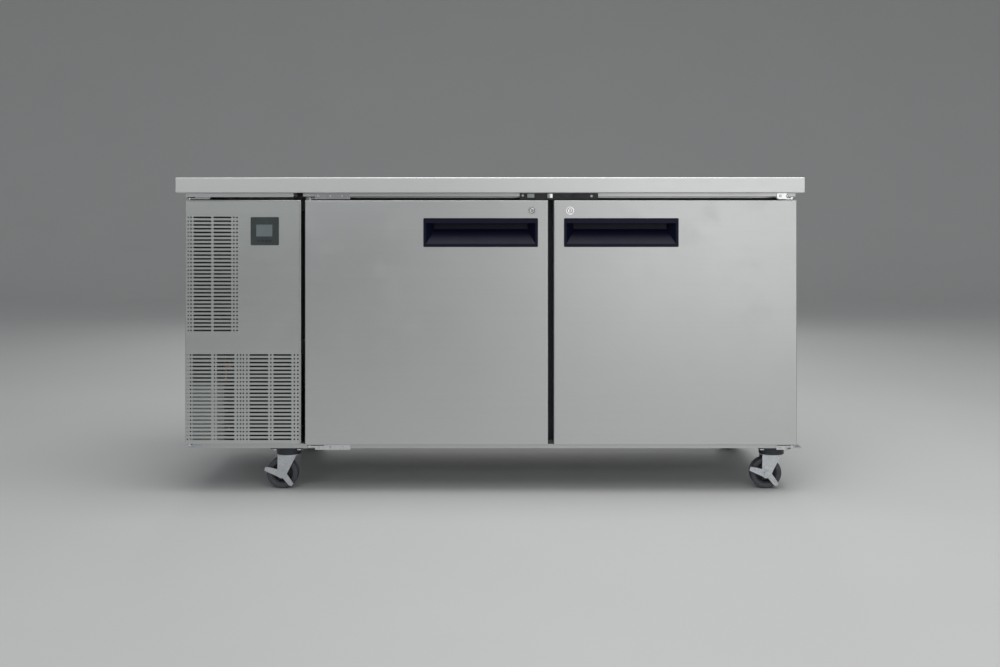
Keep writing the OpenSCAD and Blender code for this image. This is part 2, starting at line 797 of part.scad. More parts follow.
module evaporator_housing() color("whitesmoke") difference() {
    span([evap_x0, evap_y0, evap_z0], [cab_x0, evap_y1, evap_z1]);
    span([evap_x0 + evap_wall, evap_y0 + evap_wall, evap_z0 + evap_wall],
        [cab_x0 + eps, evap_y1 - evap_wall, evap_z1 - evap_wall]);
}

module evaporator_coil() color("gainsboro") {
    mount_z = evap_z0 + evap_wall;
    translate([coil_x + coil_d, coil_y0, coil_z0]) rotate([0, 0, 90])
        finned_coil(coil_y1 - coil_y0, coil_d, coil_z1 - coil_z0, 6, 5);
    for (y = [coil_y0 + 30, coil_y1 - 40]) span([coil_x + 10, y, mount_z],
        [coil_x + coil_d - 10, y + 10, coil_z0 + 3]);
}

module evaporator_fan_motor() color("dimgray") translate([cab_x0, evap_fan_y, evap_fan_z]) {
    translate([-70, 0, 0]) rod_x(26, 45);
    translate([-27, 0, 0]) rod_x(3, 22);
    for (a = [45, 135, 225, 315]) rotate([a, 0, 0]) {
        translate([-60, 20, -5]) cube([3, evap_hole_r - 10, 10]);
        translate([-60, evap_hole_r + 4, -5]) cube([60, 6, 10]);
    }
}

module evaporator_fan_blade() color("black")
    translate([cab_x0 - 5, evap_fan_y, evap_fan_z]) rotate([0, -90, 0])
        fan(evap_fan_r, 20, 18, 5, 3 + run_clear);

// Moulded guard over the fan's opening and the return slot, on the inside wall
module air_guard() color("white") {
    x0 = in_x0 + sheet;
    rows = floor((coil_z1 - coil_z0 - 2 * return_edge) / 16);
    translate([x0, evap_fan_y, evap_fan_z]) difference() {
        rod_x(evap_hole_r + 12, 3);
        for (r = [24 : 12 : evap_hole_r - 6]) translate([-eps, 0, 0]) difference() {
            rod_x(r + 5, 3 + 2 * eps);
            rod_x(r, 3 + 2 * eps);
            for (a = [0, 60, 120]) rotate([a, 0, 0])
                translate([-1, -4, -r - 8]) cube([3 + 4 * eps, 8, 2 * r + 16]);
        }
    }
    difference() {
        span([x0, upright_y[0] + upright_w + 2, coil_z0 + 5], [x0 + 3, coil_y1 - 5, coil_z1 - 5]);
        for (j = [0 : rows - 1]) span([x0 - eps, coil_y0 + return_edge + 6,
            coil_z0 + return_edge + 4 + j * 16], [x0 + 3 + eps, coil_y1 - return_edge - 6,
            coil_z0 + return_edge + 12 + j * 16]);
    }
}

// ---- shelves ----

function shelf_z(i) = in_z0 + i * shelf_gap;

module upright(w, d) cube([w, d, in_z1 - in_z0 - 2 * sheet]);

module shelf_supports() color("silver") {
    z0 = in_z0 + sheet;
    for (y = upright_y) {
        translate([in_x0 + sheet, y, z0]) upright(upright_d, upright_w);
        translate([in_x1 - sheet - upright_d, y, z0]) upright(upright_d, upright_w);
        translate([mullion_x - post_w / 2, y, z0]) upright(post_w, upright_w);
        for (i = [1 : shelf_count]) for (b = bays) for (x = [b[0], b[1] - clip_l])
            translate([x, y + 2, shelf_z(i) - clip_h]) cube([clip_l, upright_w - 4, clip_h]);
    }
}

// Wire shelf w by d, its underside at z = 0
module wire_shelf(w, d) {
    n = round((w - 4 * rod_r) / wire_pitch);
    wire_z = 2 * rod_r + wire_r - 0.8;
    for (y = [rod_r, d / 2, d - rod_r]) translate([0, y, rod_r]) rod_x(rod_r, w);
    for (x = [rod_r, w - rod_r]) translate([x, 0, rod_r]) rod_y(rod_r - 0.2, d);
    for (i = [0 : n]) translate([2 * rod_r + i * (w - 4 * rod_r) / n, 0, wire_z])
        rod_y(wire_r, d);
}

module wire_shelves() color("lightgray")
    for (i = [1 : shelf_count]) for (b = bays)
        translate([b[0] + 3, shelf_y0, shelf_z(i)])
            wire_shelf(b[1] - b[0] - 6, shelf_y1 - shelf_y0);

// ---- doors: drawn from the hinged bottom front corner, X towards the free edge ----

module place_left() { translate([door_left_x, door_y, door_z]) children(); }
module place_right() { translate([x_right, door_y, door_z]) mirror([1, 0, 0]) children(); }

// Door body inset all round, front bends included
module door_block(inset, depth) {
    translate([inset, inset, inset])
        bent_front(door_w - 2 * inset, depth - inset, door_h - 2 * inset, door_bend - inset);
}

// Pocket for the handle's tub
module handle_pocket() {
    span([handle_x + handle_wall, -eps, handle_z + handle_wall],
        [handle_x + handle_w - handle_wall, handle_d, handle_z + handle_h - 3]);
}

// Where the hinge pins enter the door, top and bottom
module pin_holes(r) {
    for (z = [-eps, door_h - pin_len - 1]) translate([pivot_x, pivot_y, z])
        cylinder(r = r, h = pin_len + 1 + eps);
}

// Room for the cam to swing from level to upright, out through the door's top
module cam_space() {
    span([lock_x - cam_len - cam_room, cam_y - 1, lock_z - cam_w / 2 - cam_room],
        [lock_x + cam_w / 2 + cam_room, cam_y + cam_t + 1, door_h - sheet]);
    span([lock_x - 30, cam_y - 1, door_h - 2],
        [lock_x + cam_w / 2 + cam_room, cam_y + cam_t + 1, door_h + eps]);
}

module door_skin() color("silver") difference() {
    door_block(0, door_t);
    door_block(sheet, door_t + eps);
    handle_pocket();
    translate([lock_x, -eps, lock_z]) rod_y(barrel_r + 2, 4);
    pin_holes(pin_r + 3);
    cam_space();
}

module door_insulation() color("khaki") difference() {
    union() {
        door_block(sheet, door_t - liner_t);
        dyke(0);
    }
    handle_pocket();
    translate([lock_x, -eps, lock_z]) rod_y(barrel_r + 2, lock_tube_y + 1 + eps);
    translate([lock_x, lock_tube_y, lock_z]) rod_y(barrel_r + 1, 6);
    pin_holes(pin_r + 3);
    cam_space();
}

// Raised panel inside the seal, grown by t on its sides and back
module dyke(t) {
    edge = seal_inset + seal_w + 8;
    span([edge - t, door_t - liner_t - eps, edge - t],
        [door_w - edge + t, door_t + dyke_h - liner_t + t, door_h - edge + t]);
}

// Door liner with the raised panel, and the two plastic bushes that the pins turn in
module door_liner() color("gainsboro") {
    difference() {
        union() {
            span([sheet, door_t - liner_t, sheet], [door_w - sheet, door_t, door_h - sheet]);
            intersection() {
                dyke(liner_t);
                span([0, door_t - liner_t, 0], [door_w, door_t + 2 * dyke_h, door_h]);
            }
        }
        dyke(0);
    }
    difference() {
        for (z = [0, door_h - pin_len - 1]) translate([pivot_x, pivot_y, z])
            cylinder(r = pin_r + 3, h = pin_len + 1);
        for (z = [-eps, door_h - pin_len - 0.5]) translate([pivot_x, pivot_y, z])
            cylinder(r = pin_r + run_clear, h = pin_len + 0.5 + eps);
    }
}

// Seal ring of the door, w wide and set in from the seal's outer edge by inset
module seal_ring(inset, w, y0, y1) {
    e = seal_inset + inset;
    translate([0, y0, 0]) front_plate(y1 - y0) difference() {
        translate([e, e]) square([door_w - 2 * e, door_h - 2 * e]);
        translate([e + w, e + w]) square([door_w - 2 * e - 2 * w, door_h - 2 * e - 2 * w]);
    }
}

module door_gasket() color("darkslategray") {
    back = door_t + seal_t - seal_clear;
    seal_ring(1, seal_w - 2, door_t, door_t + 3);
    seal_ring(seal_w / 2 - 4, 8, door_t + 2, door_t + 6);
    seal_ring(0, seal_w, door_t + 5, back);
}

// Recessed pull: a flange on the door's face and a tub whose finger cavity
// rises behind a lip, with a sloped floor and sloped ends
module door_handle() color("black") translate([handle_x, 0, handle_z]) difference() {
    side = 6;
    floor_z = 50;
    lip_z = handle_h - 14;
    back = handle_d - 4;
    union() {
        translate([0, -1.5, 0]) front_plate(1.5) round_rect(handle_w, handle_h, 3);
        span([handle_wall, -eps, handle_wall],
            [handle_w - handle_wall, handle_d, handle_h - 3]);
    }
    intersection() {
        side_plate(handle_w) polygon([[-3, 7], [back - 4, floor_z], [back, floor_z],
            [back, handle_h - 5], [handle_lip, handle_h - 5], [handle_lip, lip_z], [-3, lip_z]]);
        linear_extrude(handle_h) polygon([[side, -3], [handle_w - side, -3],
            [handle_w - handle_end, back - 8], [handle_w - handle_end, back + eps],
            [handle_end, back + eps], [handle_end, back - 8]]);
    }
}

module lock_tube() color("lightgray") translate([lock_x, 0, lock_z]) difference() {
    union() {
        translate([0, -2, 0]) rod_y(bezel_r, 2);
        translate([0, -eps, 0]) rod_y(barrel_r + 2, lock_tube_y + eps);
    }
    translate([0, -2 - eps, 0]) rod_y(barrel_r + run_clear, lock_tube_y + 2 + 2 * eps);
}

module lock_barrel() color("silver") translate([lock_x, 0, lock_z]) difference() {
    union() {
        translate([0, -3, 0]) rod_y(barrel_r, cam_y + 3 + cam_t);
        span([-cam_len, cam_y, -cam_w / 2], [0, cam_y + cam_t, cam_w / 2]);
        translate([0, cam_y, 0]) rod_y(barrel_r - 0.5, cam_t + 1.5);
    }
    translate([-1, -3 - eps, -4]) cube([2, 3 + eps, 8]);
}

module door_left_skin() place_left() door_skin();
module door_left_insulation() place_left() door_insulation();
module door_left_liner() place_left() door_liner();
module door_left_gasket() place_left() door_gasket();
module door_left_handle() place_left() door_handle();
module door_left_lock_tube() place_left() lock_tube();
module door_left_lock_barrel() place_left() lock_barrel();
module door_right_skin() place_right() door_skin();
module door_right_insulation() place_right() door_insulation();
module door_right_liner() place_right() door_liner();
module door_right_gasket() place_right() door_gasket();
module door_right_handle() place_right() door_handle();
module door_right_lock_tube() place_right() lock_tube();
module door_right_lock_barrel() place_right() lock_barrel();

// ---- casters: drawn with the swivel axis on Z and the wheel trailing to -X ----

module place_caster(i, j) { translate([caster_x[i], caster_y[j], 0]) children(); }

// Top plate, ball race housing and king pin
module caster_plate() {
    z = base_z - plate_t;
    translate([-plate_w / 2, -plate_w / 2, z]) linear_extrude(plate_t) difference() {
        round_rect(plate_w, plate_w, 8);
        for (x = [12, plate_w - 12]) for (y = [12, plate_w - 12])
            translate([x, y]) circle(4.5);
    }
    translate([0, 0, z - race_h]) cylinder(r = race_r, h = race_h + eps);
    translate([0, 0, crown_z - 2]) cylinder(r = king_r, h = race_h);
}

// Swivel fork: crown, two tapered legs and the axle bolt
module caster_fork() {
    half = wheel_w / 2 + leg_gap;
    difference() {
        translate([0, 0, crown_z]) cylinder(r = race_r - 2, h = crown_t);
        translate([0, 0, crown_z - eps]) cylinder(r = king_r + run_clear, h = crown_t + 2 * eps);
    }
    for (s = [-1, 1]) translate([0, s > 0 ? half : -half - leg_t, 0]) difference() {
        union() {
            front_plate(leg_t) polygon([[-30, crown_z + crown_t / 2], [24, crown_z + crown_t / 2],
                [-trail + 13, axle_z - 4], [-trail - 13, axle_z - 4]]);
            translate([-trail, 0, axle_z]) rod_y(14, leg_t);
        }
        translate([-trail, -eps, axle_z]) rod_y(axle_r + run_clear, leg_t + 2 * eps);
    }
}

// Axle bolt with a hex head in front and a nut behind
module caster_axle() {
    half = wheel_w / 2 + leg_gap + leg_t;
    translate([-trail, 0, axle_z]) {
        translate([0, -half - pedal_t - 1, 0]) rod_y(axle_r, 2 * half + pedal_t + 1);
        translate([0, -half - pedal_t - 5, 0]) rotate([-90, 0, 0])
            cylinder(r = 9, h = 4, $fn = 6);
        translate([0, half, 0]) rotate([-90, 0, 0]) cylinder(r = 9, h = 6, $fn = 6);
    }
}

module caster_wheel() {
    rim = wheel_d / 2 - 10;
    translate([-trail, 0, axle_z]) difference() {
        union() {
            translate([0, -wheel_w / 2, 0]) rotate([-90, 0, 0]) rotate_extrude() difference() {
                union() {
                    translate([rim, 4]) square([6, wheel_w - 8]);
                    translate([rim, 4]) square([10, wheel_w - 8]);
                    for (z = [4, wheel_w - 4]) translate([rim + 6, z]) circle(4);
                    translate([rim, 0]) square([6, wheel_w]);
                }
            }
            translate([0, -wheel_w / 2 + 4, 0]) rod_y(rim, wheel_w - 8);
            translate([0, -wheel_w / 2 - leg_gap + near_gap, 0])
                rod_y(13, wheel_w + 2 * leg_gap - 2 * near_gap);
        }
        translate([0, -wheel_w, 0]) rod_y(axle_r + run_clear, 2 * wheel_w);
    }
}

// Brake pedal: a bent lever in front of the fork leg, on the axle bolt
module caster_pedal() {
    y = -wheel_w / 2 - leg_gap - leg_t - pedal_t - near_gap;
    translate([-trail, y, axle_z]) difference() {
        union() {
            front_plate(pedal_t) polygon([[-50, 9], [-47, 20], [-28, 17], [10, 7], [34, -28],
                [29, -36], [20, -33], [2, -11], [-12, -8]]);
            rod_y(12, pedal_t);
        }
        translate([0, -eps, 0]) rod_y(axle_r + run_clear, pedal_t + 2 * eps);
    }
}

module caster_plates() color("darkslategray")
    for (i = [0, 1]) for (j = [0, 1]) place_caster(i, j) caster_plate();

module fork_set(i, j) color("silver") place_caster(i, j) { caster_fork(); caster_axle(); }
module wheel_set(i, j) color("black") place_caster(i, j) caster_wheel();
module pedal_set(i, j) color("silver") place_caster(i, j) caster_pedal();

worktop();
worktop_core();
cabinet_shell();
cabinet_insulation();
cabinet_liner();
door_frame();
centre_mullion();
top_rail();
base_rail();
unit_tray();
unit_side_panel();
unit_back_panel();
hinge_brackets();
lock_strike();
electrical_box();
compressor();
compressor_mounts();
condenser_coil();
fan_shroud();
condenser_fan_motor();
condenser_fan_blade();
filter_drier();
refrigerant_pipes();
condensate_tray();
evaporator_housing();
evaporator_coil();
evaporator_fan_motor();
evaporator_fan_blade();
air_guard();
shelf_supports();
wire_shelves();
power_inlet();
unit_front_panel();
controller_bezel();
controller_display();
door_left_skin();
door_left_insulation();
door_left_liner();
door_left_gasket();
door_left_handle();
door_left_lock_tube();
door_left_lock_barrel();
door_right_skin();
door_right_insulation();
door_right_liner();
door_right_gasket();
door_right_handle();
door_right_lock_tube();
door_right_lock_barrel();
caster_plates();
fork_set(0, 0);  // fork_front_left
fork_set(1, 0);  // fork_front_right
fork_set(0, 1);  // fork_rear_left
fork_set(1, 1);  // fork_rear_right
wheel_set(0, 0);  // wheel_front_left
wheel_set(1, 0);  // wheel_front_right
wheel_set(0, 1);  // wheel_rear_left
wheel_set(1, 1);  // wheel_rear_right
pedal_set(0, 0);  // pedal_front_left
pedal_set(1, 0);  // pedal_front_right
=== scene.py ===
import json
import math

import bmesh
import bpy
from mathutils import Matrix, Vector


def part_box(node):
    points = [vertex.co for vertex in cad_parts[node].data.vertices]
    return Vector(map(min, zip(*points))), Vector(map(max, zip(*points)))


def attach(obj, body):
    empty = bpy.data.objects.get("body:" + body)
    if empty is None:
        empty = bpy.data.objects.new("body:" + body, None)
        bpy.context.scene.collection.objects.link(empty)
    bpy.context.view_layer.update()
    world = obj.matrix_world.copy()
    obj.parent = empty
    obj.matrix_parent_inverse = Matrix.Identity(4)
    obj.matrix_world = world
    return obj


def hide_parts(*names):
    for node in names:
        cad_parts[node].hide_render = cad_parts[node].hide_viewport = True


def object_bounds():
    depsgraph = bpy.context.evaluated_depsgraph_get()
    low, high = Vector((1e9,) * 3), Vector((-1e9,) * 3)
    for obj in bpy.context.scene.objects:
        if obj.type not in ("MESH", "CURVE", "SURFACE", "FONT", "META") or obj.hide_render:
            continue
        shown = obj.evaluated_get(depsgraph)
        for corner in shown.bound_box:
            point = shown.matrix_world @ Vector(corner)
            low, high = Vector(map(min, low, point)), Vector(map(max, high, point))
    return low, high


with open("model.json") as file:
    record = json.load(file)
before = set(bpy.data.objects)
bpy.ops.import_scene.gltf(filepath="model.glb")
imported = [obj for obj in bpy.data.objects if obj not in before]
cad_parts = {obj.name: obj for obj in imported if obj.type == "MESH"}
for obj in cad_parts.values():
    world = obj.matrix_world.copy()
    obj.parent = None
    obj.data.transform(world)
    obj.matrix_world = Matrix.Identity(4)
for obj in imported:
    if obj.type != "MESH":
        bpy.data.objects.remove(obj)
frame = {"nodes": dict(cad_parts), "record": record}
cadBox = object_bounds()
record = frame["record"]
print("frame loaded:", len(frame["nodes"]), "nodes")

mm = 0.001


# camera, floor and light

studio = {
    "eyeHeight": 0.82,
    "eyeSide": 0.028,
    "eyeDistance": 3.2,          # from the worktop's front edge
    "lens": 40.6,
    "drop": -0.128,              # frame shifted down, so that the eye stays level
    "floorTone": (0.6, 0.6, 0.595),
    "skyTone": (0.80, 0.82, 0.84),
    "skyPower": 0.36,
}


def aimAt(thing, target):
    thing.rotation_euler = (Vector(target) - thing.location).to_track_quat("-Z", "Y").to_euler()


def makeCamera():
    cam = bpy.data.objects.new("counterCamera", bpy.data.cameras.new("counterCamera"))
    bpy.context.scene.collection.objects.link(cam)
    cam.location = (studio["eyeSide"], cadBox[0].y - studio["eyeDistance"], studio["eyeHeight"])
    cam.rotation_euler = (math.radians(90), 0, 0)
    cam.data.lens = studio["lens"]
    cam.data.shift_y = studio["drop"]
    bpy.context.scene.camera = cam


def softBox(name, place, target, wide, tall, watts, tone):
    lamp = bpy.data.lights.new(name, "AREA")
    lamp.shape = "RECTANGLE"
    lamp.size, lamp.size_y = wide, tall
    lamp.energy = watts
    lamp.color = tone
    thing = bpy.data.objects.new(name, lamp)
    bpy.context.scene.collection.objects.link(thing)
    thing.location = place
    aimAt(thing, target)


def makeLights():
    softBox("rightSoftBox", (1.85, -4.9, 1.2), (1.85, -0.35, 1.2), 2.9, 2.4, 23, (1.0, 0.995, 0.98))
    softBox("leftSoftBox", (-2.35, -4.9, 2.1), (-2.35, -0.35, 1.9), 1.5, 1.3, 15, (0.98, 1.0, 0.99))
    softBox("highSoftBox", (0.0, -3.4, 3.6), (0.0, -0.35, 0.7), 3.2, 1.2, 22, (0.97, 0.99, 1.0))
    softBox("topSoftBox", (0.9, -0.9, 3.4), (0.9, -0.9, 0.0), 3.6, 2.6, 72, (1.0, 1.0, 1.0))
    softBox("backSoftBox", (0.0, 3.8, 2.2), (0.0, 0.35, 0.5), 3.0, 1.6, 30, (1.0, 1.0, 1.0))
    world = bpy.data.worlds.new("paleRoom")
    bpy.context.scene.world = world
    world.use_nodes = True
    sky = world.node_tree.nodes["Background"]
    sky.inputs["Color"].default_value = (*studio["skyTone"], 1)
    sky.inputs["Strength"].default_value = studio["skyPower"]


makeCamera()
makeLights()
bpy.context.scene.view_settings.view_transform = "Standard"
print("camera and lights set")


# shader maths

class Signal:  # one shader output, so that maths on it reads as an expression
    def __init__(self, tree, socket):
        self.tree = tree
        self.socket = socket

    def combine(self, operation, first, second):
        node = self.tree.nodes.new("ShaderNodeMath")
        node.operation = operation
        for socket, value in zip(node.inputs, (first, second)):
            if isinstance(value, Signal):
                self.tree.links.new(value.socket, socket)
            else:
                socket.default_value = value
        return Signal(self.tree, node.outputs[0])

    def __add__(self, other):
        return self.combine("ADD", self, other)

    def __radd__(self, other):
        return self.combine("ADD", other, self)

    def __sub__(self, other):
        return self.combine("SUBTRACT", self, other)

    def __rsub__(self, other):
        return self.combine("SUBTRACT", other, self)

    def __mul__(self, other):
        return self.combine("MULTIPLY", self, other)

    def __rmul__(self, other):
        return self.combine("MULTIPLY", other, self)


class Finish:  # one material and the calls that build its nodes
    def __init__(self, name, **fixed):
        self.material = bpy.data.materials.new(name)
        self.material.use_nodes = True
        self.tree = self.material.node_tree
        self.tree.nodes.clear()
        self.shader = self.add("ShaderNodeBsdfPrincipled", {}, fixed)
        self.add("ShaderNodeOutputMaterial", {}, {"Surface": self.out(self.shader)})
        self.place = self.out(self.add("ShaderNodeTexCoord"), "Object")

    def add(self, kind, settings=None, inputs=None):
        node = self.tree.nodes.new(kind)
        for key, value in (settings or {}).items():
            if key == "stops":
                ramp = node.color_ramp.elements
                while len(ramp) < len(value):
                    ramp.new(0.5)
                for stop, (at, tone) in zip(ramp, value):
                    stop.position = at
                    stop.color = (tone, tone, tone, 1) if isinstance(tone, float) else (*tone, 1)
            else:
                setattr(node, key, value)
        for key, value in (inputs or {}).items():
            if isinstance(value, Signal):
                self.tree.links.new(value.socket, node.inputs[key])
            else:
                node.inputs[key].default_value = value
        return node

    def out(self, node, name=0):
        return Signal(self.tree, node.outputs[name])

    def feed(self, socket, value):
        self.tree.links.new(value.socket, self.shader.inputs[socket])

    def scaled(self, factors):
        return self.out(self.add("ShaderNodeVectorMath", {"operation": "MULTIPLY"},
                                 {0: self.place, 1: factors}))

    def noise(self, factors, detail=3.0, rough=0.5):
        return self.out(self.add("ShaderNodeTexNoise", {},
                                 {"Vector": self.scaled(factors), "Scale": 1.0,
                                  "Detail": detail, "Roughness": rough}), "Fac")

    def ramp(self, signal, *stops):
        return self.out(self.add("ShaderNodeValToRGB", {"stops": stops}, {"Fac": signal}), "Color")

    def blendTones(self, factor, first, second):
        tones = {6: first if isinstance(first, Signal) else (*first, 1),
                 7: second if isinstance(second, Signal) else (*second, 1)}
        return self.out(self.add("ShaderNodeMix", {"data_type": "RGBA"}, {0: factor, **tones}), 2)

    def relief(self, height, strength, distance):
        self.feed("Normal", self.out(self.add("ShaderNodeBump", {}, {
            "Strength": strength, "Distance": distance, "Height": height})))


def shade(tone, by):
    return tuple(min(1.0, c * by) for c in tone)


# finishes

steel = {
    "grainFine": 900.0,          # brush lines to the metre
    "grainLong": 5.0,
    "mottle": 3.2,
    "smudge": 9.0,
}


def brushedSteel(name, tone, along, rough=0.34, contrast=0.07, bump=0.05):
    f = Finish(name, Metallic=1.0, Anisotropic=0.35)
    stretch = [steel["grainFine"]] * 3
    stretch["xyz".index(along)] = steel["grainLong"]
    streak = f.noise(tuple(stretch), 4.0, 0.65)
    wide = f.noise(tuple(s * 0.18 for s in stretch), 2.0)
    mottle = f.noise((steel["mottle"],) * 3, 4.0, 0.6)
    smudge = f.noise((steel["smudge"],) * 3, 5.0, 0.7)
    rub = f.ramp(smudge, (0.52, 0.0), (0.72, 1.0))
    mix = streak * 0.5 + wide * 0.25 + mottle * 0.25
    f.feed("Base Color", f.blendTones(mix, shade(tone, 1 - contrast), shade(tone, 1 + contrast)))
    f.feed("Roughness", rough + (streak - 0.5) * 0.16 + (mottle - 0.5) * 0.07 + rub * 0.05)
    f.relief(streak * 0.7 + wide * 0.3, bump, 0.0004)
    return f.material


def zincPlate(name, tone, rough=0.32):
    f = Finish(name, Metallic=1.0)
    cells = f.out(f.add("ShaderNodeTexVoronoi", {"feature": "F1"},
                        {"Vector": f.scaled((260.0,) * 3), "Scale": 1.0}), "Color")
    cell = f.out(f.add("ShaderNodeSeparateColor", {}, {"Color": cells}), 0)
    stain = f.noise((70.0,) * 3, 5.0, 0.7)
    scuff = f.ramp(f.noise((160.0, 900.0, 420.0), 4.0, 0.7), (0.58, 0.0), (0.68, 1.0))
    base = f.blendTones(cell * 0.5 + stain * 0.5, shade(tone, 0.78), shade(tone, 1.1))
    f.feed("Base Color", f.blendTones(scuff * 0.5, base, shade(tone, 0.5)))
    f.feed("Roughness", rough + (stain - 0.5) * 0.25 + cell * 0.08 + scuff * 0.15)
    f.relief(cell * 0.3 + stain * 0.7, 0.12, 0.0006)
    return f.material


def brightMetal(name, tone, rough=0.12):
    f = Finish(name, Metallic=1.0)
    haze = f.noise((120.0,) * 3, 4.0, 0.6)
    pits = f.ramp(f.noise((800.0,) * 3, 3.0), (0.62, 0.0), (0.74, 1.0))
    f.feed("Base Color", f.blendTones(haze * 0.7 + pits * 0.3, shade(tone, 1.12), shade(tone, 0.6)))
    f.feed("Roughness", rough + haze * 0.14 + pits * 0.2)
    f.relief(haze + pits * 0.5, 0.06, 0.0004)
    return f.material


def mouldedPlastic(name, tone, rough=0.45, grain=1400.0, coat=0.0, bump=0.16, dust=0.12,
                   shine=0.5, cloudy=0.16):
    f = Finish(name, **{"Coat Weight": coat, "Coat Roughness": 0.15, "Specular IOR Level": shine})
    texture = f.noise((grain,) * 3, 2.0, 0.6)
    cloud = f.noise((14.0,) * 3, 4.0, 0.6)
    settle = f.ramp(f.noise((45.0,) * 3, 5.0, 0.7), (0.55, 0.0), (0.8, 1.0))
    base = f.blendTones(cloud, shade(tone, 1 - cloudy), shade(tone, 1 + cloudy))
    dusty = tuple(c * 0.8 + 0.12 for c in tone)
    f.feed("Base Color", f.blendTones(settle * dust, base, dusty))
    f.feed("Roughness", rough + (texture - 0.5) * 0.12 + (cloud - 0.5) * 0.1 + settle * 0.1)
    f.relief(texture, bump, 0.0003)
    return f.material


def dustyRubber(name, tone, rough=0.62):
    f = Finish(name)
    grit = f.noise((1100.0,) * 3, 3.0, 0.6)
    scuff = f.ramp(f.noise((60.0, 25.0, 60.0), 5.0, 0.75), (0.5, 0.0), (0.72, 1.0))
    f.feed("Base Color", f.blendTones(scuff * 0.45 + grit * 0.15, tone, tuple(c + 0.07 for c in tone)))
    f.feed("Roughness", rough + (grit - 0.5) * 0.2 + scuff * 0.12)
    f.relief(grit * 0.6 + scuff * 0.4, 0.25, 0.0005)
    return f.material


def coatedPaint(name, tone, rough=0.4, coat=0.2):
    f = Finish(name, **{"Coat Weight": coat, "Coat Roughness": 0.2})
    peel = f.noise((420.0,) * 3, 2.0)
    cloud = f.noise((9.0,) * 3, 4.0, 0.65)
    speck = f.ramp(f.noise((300.0,) * 3, 4.0, 0.7), (0.66, 0.0), (0.74, 1.0))
    base = f.blendTones(cloud, shade(tone, 0.82), shade(tone, 1.16))
    f.feed("Base Color", f.blendTones(speck * 0.35, base, shade(tone, 0.5)))
    f.feed("Roughness", rough + (cloud - 0.5) * 0.14 + speck * 0.15)
    f.relief(peel * 0.8 + speck * 0.2, 0.1, 0.0005)
    return f.material


def copperTube(name, tone):
    f = Finish(name, Metallic=1.0)
    bloom = f.noise((38.0,) * 3, 5.0, 0.7)
    draw = f.noise((500.0, 500.0, 40.0), 3.0)
    dark = f.ramp(bloom, (0.45, 0.0), (0.75, 1.0))
    f.feed("Base Color", f.blendTones(dark, shade(tone, 1.12), (0.30, 0.14, 0.09)))
    f.feed("Roughness", 0.24 + dark * 0.3 + draw * 0.1)
    f.relief(draw, 0.08, 0.0004)
    return f.material


def cutFoam(name, tone):
    f = Finish(name, Roughness=0.9)
    cells = f.out(f.add("ShaderNodeTexVoronoi", {"feature": "F1"},
                        {"Vector": f.scaled((900.0,) * 3), "Scale": 1.0}), "Distance")
    stain = f.noise((11.0,) * 3, 4.0)
    # stain is the foam's own blotching; the darkening toward the cell edges, where the bump sinks, is
    # painted shade in the grooves between cells
    f.feed("Base Color", f.blendTones(stain * 0.7 + cells * 0.4, shade(tone, 1.08), shade(tone, 0.72)))
    f.relief(1 - cells, 0.5, 0.0008)
    return f.material


def pressedBoard(name, tone):
    f = Finish(name, Roughness=0.8)
    chips = f.out(f.add("ShaderNodeTexVoronoi", {"feature": "F1"},
                        {"Vector": f.scaled((180.0, 180.0, 520.0)), "Scale": 1.0}), "Color")
    chip = f.out(f.add("ShaderNodeSeparateColor", {}, {"Color": chips}), 0)
    grain = f.noise((60.0, 60.0, 400.0), 4.0)
    f.feed("Base Color", f.blendTones(chip * 0.6 + grain * 0.4, shade(tone, 0.7), shade(tone, 1.15)))
    f.relief(chip * 0.5 + grain * 0.5, 0.3, 0.0006)
    return f.material


tones = {
    "stainless_worktop": (0.76, 0.77, 0.765),
    "stainless_door": (0.6, 0.61, 0.61),
    "stainless_case": (0.56, 0.57, 0.57),
    "stainless_unit_panel": (0.58, 0.60, 0.585),
    "inner_steel": (0.66, 0.67, 0.67),
}


